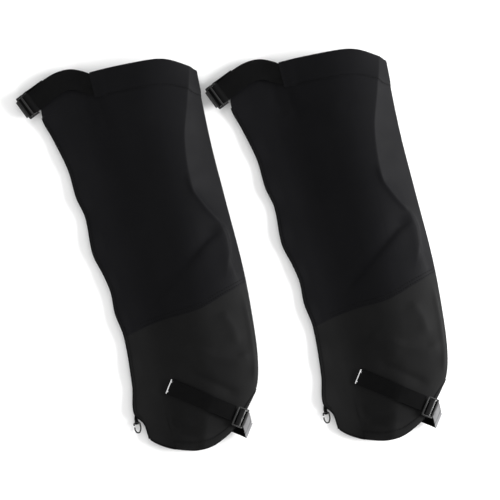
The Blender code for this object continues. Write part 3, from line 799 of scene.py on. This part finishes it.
def add_stitches(side, place):
    """Rows along the hem, the seam and the band, and one down the flap."""
    q = np.concatenate([NEAR_Q, FAR_Q[1:]])
    seam = seam_height(q)
    lines = [stitch_line(q, hem_height(q) + HEM_STITCHES, 0.0012)]
    lines += [stitch_line(q, seam + apart, 0.0006) for apart in SEAM_STITCHES]
    q = q[q > 0.10]
    lines.append(stitch_line(q, top_height(q) - BAND_STITCHES, 0.0013))
    obj = stitch_mesh(f"{side}_panel_stitches", lines, place)
    attach(obj, f"{side}_gaiter", "shell")
    y = np.linspace(0.050, 0.4225, 140)
    points = flap_point(np.zeros(140), y) + np.array([FLAP_STITCHES, 0.0, 0.0007])
    normals = np.broadcast_to(np.array([0.0, 0.0, 1.0]), points.shape)
    obj = stitch_mesh(f"{side}_flap_stitches", [(points, normals)], place)
    attach(obj, f"{side}_front_flap", "shell")


# ---------------------------------------------------------------- webbing
def plate_matrix(centre, along, tilt):
    """Frame of a buckle: Y along its hinge, X outwards, tilted down by tilt."""
    x_axis = Vector((along.y * math.cos(tilt), -along.x * math.cos(tilt), -math.sin(tilt)))
    matrix = Matrix((x_axis, along, x_axis.cross(along))).transposed().to_4x4()
    matrix.translation = centre
    return matrix


def web_mesh(name, edges, key, place, thickness=0.0013, columns=9):
    """Webbing between two edge lines, with rounded selvedges and UV in metres."""
    edges = np.array(edges)
    share = np.linspace(0, 1, columns)[None, :, None]
    grid = edges[:, :1] * (1 - share) + edges[:, 1:] * share
    middle = (edges[:, 0] + edges[:, 1]) / 2
    along = np.concatenate([[0], np.cumsum(np.linalg.norm(np.diff(middle, axis=0), axis=1))])
    width = np.linalg.norm(edges[:, 1] - edges[:, 0], axis=1)
    uv = np.stack([np.broadcast_to(along[:, None], grid.shape[:2]),
                   share[..., 0] * width[:, None]], axis=-1)
    obj = sheet_mesh(name, grid, key, place, thickness, uv)
    bevel = obj.modifiers.new("selvedge", "BEVEL")
    bevel.width = 0.0003
    bevel.segments = 2
    bevel.limit_method = "ANGLE"
    return apply_modifiers(obj)


def smooth_rows(points, count):
    """Rows of numbers read from a smooth curve through the given rows."""
    points = np.array(points, float)
    step = np.concatenate([[0], np.cumsum(np.linalg.norm(np.diff(points[:, :2], axis=0), axis=1))])
    t = np.linspace(0, step[-1], count)
    return np.stack([spline(list(zip(step, column)), t) for column in points.T], axis=1)


def face_edges(x, y, along, width, gap):
    """The two edge points of webbing that lies on the near face."""
    half = np.array(along) * width / 2
    middle = np.array([x, y, 0.0])
    a, b = middle - half, middle + half
    za, zb = float(near_z(a[0], a[1])), float(near_z(b[0], b[1]))
    bulge = max(float(near_z(x, y)) - (za + zb) / 2, 0.0)
    a[2], b[2] = za + bulge + gap, zb + bulge + gap
    return [a, b]


def settle(edges, passes):
    """Lifts the dips of webbing, which is stiffer than the cloth under it."""
    edges = np.array(edges)
    for _ in range(passes):
        even = (edges[:-2, :, 2] + edges[2:, :, 2]) / 2
        edges[1:-1, :, 2] = np.maximum(edges[1:-1, :, 2], even)
    return edges


# ---------------------------------------------------------------- top strap and its buckle
BUCKLE_FRAME = plate_matrix(BUCKLE_PIVOT, BUCKLE_ALONG, 0.0)


def tunnel_rows():
    """The strap's end inside the band."""
    rows = []
    for q in np.linspace(0.132, 0.110, 4):
        y = float(top_height(np.array([q]))[0]) - STRAP_BELOW_TOP
        rows.append([leg_points(np.array([q]), np.array([y + k * TOP_WEB / 2]), 0.0011)[0]
                     for k in (-1, 1)])
    return rows


def free_rows(count=40):
    """The strap from the band's mouth over the front edge, in a low arch, to the buckle."""
    rest = CLOSURE_Z + STRAP_GAP
    rows = []
    for k, (x, y, angle) in enumerate(smooth_rows(FREE_STRAP, count)):
        arch = STRAP_ARCH * math.sin(math.pi * k / (count - 1))
        turn = math.radians(angle)
        pair = face_edges(x, y, (math.cos(turn), math.sin(turn), 0.0), TOP_WEB, STRAP_GAP)
        on_leg = float(smooth(root_x(y) - 0.012, root_x(y) + 0.006, x))
        for point in pair:
            point[2] = max(rest * (1 - on_leg) + point[2] * on_leg, rest) + arch
        rows.append(pair)
    return rows


def buckle_rows():
    """The strap through the buckle and down over its outer bar, as x and z in the buckle's frame."""
    route = ((0.0002, 0.0025), (0.0022, 0.0027), (0.0042, 0.0026), (0.0064, 0.0021),
             (0.0090, 0.0017), (0.0110, 0.0007), (0.0115, -0.0007), (0.0108, -0.0021))
    return [[np.array(BUCKLE_FRAME @ Vector((x, k * TOP_WEB / 2, z))) for k in (1, -1)]
            for x, z in route]


def add_top_strap(side, place):
    """The top strap, from inside the band over the front edge and through the buckle."""
    edges = settle(tunnel_rows() + free_rows(), 3)
    edges = np.concatenate([edges, np.array(buckle_rows())])
    obj = web_mesh(f"{side}_top_webbing", edges, "webbing", place)
    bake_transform(obj)
    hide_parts(f"{side}_top_strap", f"{side}_top_strap_end")


def add_buckle_tab(side, place):
    """The tab under the strap, sewn to the closure and looped round the buckle's inner bar."""
    path = [Vector((x, 0, z)) for x, z in (
        (-0.026, -0.0046), (-0.014, -0.0046), (-0.0045, -0.0044), (-0.0012, -0.0034),
        (0.0012, -0.0018), (0.0012, 0.0006), (-0.0004, 0.0018), (-0.0030, 0.0010))]
    edges = [[np.array(BUCKLE_FRAME @ (p + Vector((0, k * TOP_WEB * 0.46 - 0.0040, 0)))) for k in (1, -1)]
             for p in round_path(path, 0.0012, 3)]
    obj = web_mesh(f"{side}_buckle_loop", edges, "webbing", place, 0.0010)
    attach(obj, f"{side}_gaiter", "webbing", f"{side}_top_buckle_tab")


def add_top_buckle(side, place):
    """Ladder buckle: two rails, three bars, a ridged grip and a lifting lip."""
    centre = BUCKLE_FRAME @ Matrix.Translation((0.0056, 0, 0))
    bm = bmesh.new()
    for y in (-0.0139, 0.0139):
        rounded_box(bm, centre, (0, y, 0.0002), (0.0140, 0.0024, 0.0042), 0.0009)
        rounded_box(bm, centre, (0.0006, y, 0.0034), (0.0040, 0.0024, 0.0036), 0.0009)
    for x, wide, tall, z in ((-0.0058, 0.0022, 0.0026, 0.0), (0.0006, 0.0024, 0.0020, 0.0042),
                             (0.0059, 0.0026, 0.0030, 0.0002)):
        rounded_box(bm, centre, (x, 0, z), (wide, 0.0270, tall), 0.0008)
    for k in range(-4, 5):
        rounded_box(bm, centre, (0.0061, k * 0.0026, 0.0019), (0.0020, 0.0009, 0.0009), 0.0003, 1)
    lip = centre @ Matrix.Translation((0.0078, 0, 0.0014)) @ Matrix.Rotation(-0.45, 4, "Y")
    rounded_box(bm, lip, (0, 0, 0), (0.0036, 0.0230, 0.0016), 0.0007)
    obj = finish_mesh(f"{side}_ladder_buckle", bm, "plastic", place, 40)
    attach(obj, f"{side}_top_buckle", "plastic", f"{side}_top_buckle")


# ---------------------------------------------------------------- instep strap and its buckle
STEP_MIDDLE = np.array(STEP_PIVOT)
STEP_LINE = np.array(STEP_ALONG)
STEP_OUT = np.array([STEP_ALONG.y, -STEP_ALONG.x, 0.0])
STEP_FRAME = plate_matrix(STEP_PIVOT, STEP_ALONG, STEP_TILT) @ Matrix.Translation((0.0062, 0, 0))
# Where the strap leaves the buckle, and where it comes round to the floor.
STEP_START = STEP_FRAME @ Vector((0.0046, 0, -0.0040))
STEP_GROUND = STEP_START + Vector(STEP_OUT) * 0.0015
STEP_GROUND.z = STRAP_LOW


def add_strap_tail(side, place):
    """The strap's free end over the near face, with a pressed metal clip on it."""
    edges = []
    for s in np.linspace(0.0030, 0.0865, 44):
        x, y = (STEP_MIDDLE - STEP_OUT * s + STEP_LINE * 0.0016)[:2]
        rise = 0.0024 * (1 - min(s / 0.03, 1.0))
        edges.append(face_edges(x, y, STEP_LINE, STEP_WEB, 0.0026 + rise))
    edges = settle(edges, 24)
    obj = web_mesh(f"{side}_strap_tail", edges, "webbing", place)
    attach(obj, f"{side}_instep_tail", "webbing", f"{side}_instep_strap_tail")
    a, b = Vector(edges[-1][0]), Vector(edges[-1][1])
    across = (b - a).normalized()
    forward = (Vector(edges[-1].mean(axis=0)) - Vector(edges[-3].mean(axis=0))).normalized()
    clip = Matrix((forward, across, forward.cross(across))).transposed().to_4x4()
    clip.translation = (a + b) / 2 + forward * 0.0004
    bm = bmesh.new()
    rounded_box(bm, clip, (0, 0, 0), (0.0017, 0.0190, 0.0024), 0.0006)
    for y in (-0.0062, 0.0062):
        rounded_box(bm, clip, (-0.0012, y, 0.0), (0.0012, 0.0018, 0.0022), 0.0004, 2)
    obj = finish_mesh(f"{side}_strap_clip", bm, "steel", place, 40)
    attach(obj, f"{side}_instep_tail", "steel", f"{side}_instep_strap_tip")


def add_step_buckle(side, place):
    """The frame of the buckle and its knurled bar."""
    bm = bmesh.new()
    for x in (-0.0062, 0.0062):
        rounded_box(bm, STEP_FRAME, (x, 0, 0), (0.0022, 0.0240, 0.0028), 0.0009)
    for y in (-0.0111, 0.0111):
        rounded_box(bm, STEP_FRAME, (0, y, 0), (0.0140, 0.0020, 0.0032), 0.0009)
    obj = finish_mesh(f"{side}_step_frame", bm, "plastic", place, 40)
    attach(obj, f"{side}_instep_buckle", "plastic", f"{side}_instep_buckle")
    bm = bmesh.new()
    middle = STEP_FRAME @ Matrix.Translation((0.0024, 0, 0.0004))
    for k in range(KNURLS):
        y = (k - (KNURLS - 1) / 2) * 0.00130
        rounded_box(bm, middle, (0, y, 0), (0.0018, 0.00105, 0.0022), 0.0004, 2)
    rounded_box(bm, middle, (0, 0, 0), (0.0018, 0.0200, 0.0017), 0.0004, 2)
    obj = finish_mesh(f"{side}_knurled_bar", bm, "dark_steel", place, 40)
    attach(obj, f"{side}_instep_bar", "steel", f"{side}_instep_buckle_bar")


def strap_route():
    """Middle line of the strap: through the frame, out round the near edge, down and under."""
    out = Vector(STEP_OUT)
    through = [STEP_FRAME @ Vector(p)
               for p in ((-0.0035, 0, 0.0016), (0.0005, 0, 0.0017), (0.0050, 0, -0.0021))]
    bend = [STEP_START + out * ahead - Vector((0, 0, drop))
            for ahead, drop in ((0.0062, 0.0014), (0.0118, 0.0050), (0.0134, 0.0105), (0.0100, 0.0170))]
    under = [STEP_GROUND - out * back for back in (0.0, 0.010, 0.030, 0.046)]
    under[0].z += 0.001
    return round_path(through + bend + under, 0.006)


def strap_slide(fall):
    """How far the strap has slid along its width after part of its fall."""
    return STRAP_SHIFT * float(smooth(-0.05, 0.22, fall) - smooth(-0.05, 0.22, 0.0))


def add_step_strap(side, place):
    """The strap from the far side, round the edge and up through the frame."""
    edges = []
    for point in strap_route():
        fall = np.clip((STEP_START.z - point.z) / 0.03, 0, 1)
        middle = np.array(point) - STEP_LINE * strap_slide(fall)
        edges.append([middle - STEP_LINE * STEP_WEB / 2, middle + STEP_LINE * STEP_WEB / 2])
    obj = web_mesh(f"{side}_step_strap", edges, "webbing", place)
    # Second material: a light grey painted reflection on the outer faces of the bend.
    obj.data.materials.append(MATS["bend_reflection_web"])
    paint_bend_reflection(obj, place)
    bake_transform(obj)
    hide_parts(f"{side}_instep_strap")


def paint_bend_reflection(obj, place):
    """Painted reflection: the faces that look out of the bend get light grey, standing in for the key
    lamp shining off the glossy black strap.
    """
    pivot = Vector(STEP_MIDDLE + place)
    out = Vector(STEP_OUT)
    core = pivot + out * 0.006 + Vector((0, 0, -0.016))
    for face in obj.data.polygons:
        away = face.center - core
        away -= STEP_ALONG * away.dot(STEP_ALONG)
        ahead = (face.center - pivot).dot(out)
        if ahead > 0.0135 and face.normal.dot(away) > 0:
            face.material_index = 1


def add_step_anchors(side, place):
    """The tab that holds the buckle, and the far side's patch that the strap is sewn to."""
    edges = [face_edges(*(STEP_MIDDLE - STEP_OUT * s)[:2], STEP_LINE, STEP_WEB * 0.9, 0.0013)
             for s in np.linspace(0.003, 0.026, 12)]
    obj = web_mesh(f"{side}_step_tab", settle(edges, 4), "webbing", place, 0.0008)
    attach(obj, f"{side}_gaiter", "webbing", f"{side}_instep_buckle_tab")
    start = np.array([STEP_GROUND.x, STEP_GROUND.y, 0.0030])
    edges = [[start - STEP_OUT * s + k * STEP_LINE * 0.013 for k in (-1, 1)]
             for s in np.linspace(0.014, 0.058, 16)]
    obj = web_mesh(f"{side}_anchor_patch", edges, "heavy_shell", place, 0.0010)
    attach(obj, f"{side}_gaiter", "heavy_shell", f"{side}_instep_anchor_patch")


# ---------------------------------------------------------------- lace hook
def add_lace_hook(side, place):
    """The wire hook, and the webbing loop that holds it to the cloth."""
    half, reach = 0.0036, 0.0120
    wire = [(-half, -0.0030, 0.0004), (-half, 0.0, 0.0), (half, 0.0, 0.0), (half, -reach * 0.62, 0.0),
            (half * 0.4, -reach, 0.0006), (-half * 0.5, -reach, 0.0008), (-half, -reach * 0.70, 0.0006),
            (-half * 0.98, -reach * 0.40, 0.0004)]
    bm = bmesh.new()
    tube_mesh(bm, [HOOK_PIVOT + p for p in round_path(wire, 0.0016)], 0.0009, 12)
    obj = finish_mesh(f"{side}_wire_hook", bm, "coated_wire", place)
    attach(obj, f"{side}_lace_hook", "coated_wire", f"{side}_lace_hook")
    half_web = np.array([0.0022, 0, 0])
    edges = []
    for a in np.linspace(math.pi / 2, math.pi * 1.5, 14):
        middle = np.array(HOOK_PIVOT) + 0.0017 * np.array([0, math.cos(a), math.sin(a)])
        edges.append([middle - half_web, middle + half_web])
    for step in ((0.0, 0.0045, 0.0), (0.0012, 0.0045, -0.0006), (0.0032, 0.0075, -0.0005)):
        edges.append([point + np.array(step) for point in edges[-1]])
    obj = web_mesh(f"{side}_hook_loop", edges, "webbing", place, 0.0007)
    attach(obj, f"{side}_gaiter", "webbing", f"{side}_lace_hook_tab")


# ---------------------------------------------------------------- stage
def add_floor():
    material, _ = new_material("pale_floor", (0.92, 0.92, 0.92), 0.9, specular=0.1)
    bpy.ops.mesh.primitive_plane_add(size=60.0, location=(0, 0, FLOOR_Z))
    floor = bpy.context.object
    floor.name = "floor"
    floor.data.materials.append(material)


def add_light():
    """White surroundings, a low key lamp from the right and three weak fills."""
    world = bpy.data.worlds.new("studio")
    bpy.context.scene.world = world
    world.use_nodes = True
    background = world.node_tree.nodes["Background"]
    background.inputs["Color"].default_value = (1.0, 1.0, 1.0, 1.0)
    background.inputs["Strength"].default_value = WORLD_STRENGTH
    bpy.context.scene.view_settings.view_transform = "Standard"
    for name, place, size, power in LAMPS:
        data = bpy.data.lights.new(name, "AREA")
        data.shape = "SQUARE"
        data.size = size
        data.energy = power
        light = bpy.data.objects.new(name, data)
        light.location = place
        light.rotation_mode = "QUATERNION"
        light.rotation_quaternion = (-Vector(place)).to_track_quat("-Z", "Y")
        bpy.context.scene.collection.objects.link(light)


def add_camera():
    """Straight above, rolled so that the gaiters' tops lean to the left."""
    data = bpy.data.cameras.new("camera")
    data.sensor_width = SENSOR
    data.lens = SENSOR * CAMERA_PLACE[2] / CAMERA_WIDTH
    data.clip_end = 50.0
    camera = bpy.data.objects.new("camera", data)
    camera.location = CAMERA_PLACE
    camera.rotation_euler = (0.0, 0.0, -CAMERA_ROLL)
    bpy.context.scene.collection.objects.link(camera)
    bpy.context.scene.camera = camera


add_camera()
for side, place in PLACES.items():
    for add in (add_leg_panels, add_closure, add_tapes, add_hem_edge, add_flap_edge, add_top_band,
                add_stitches, add_top_strap, add_buckle_tab, add_top_buckle, add_strap_tail,
                add_step_buckle, add_step_strap, add_step_anchors, add_lace_hook):
        add(side, place)
add_floor()
add_light()

bpy.context.view_layer.update()
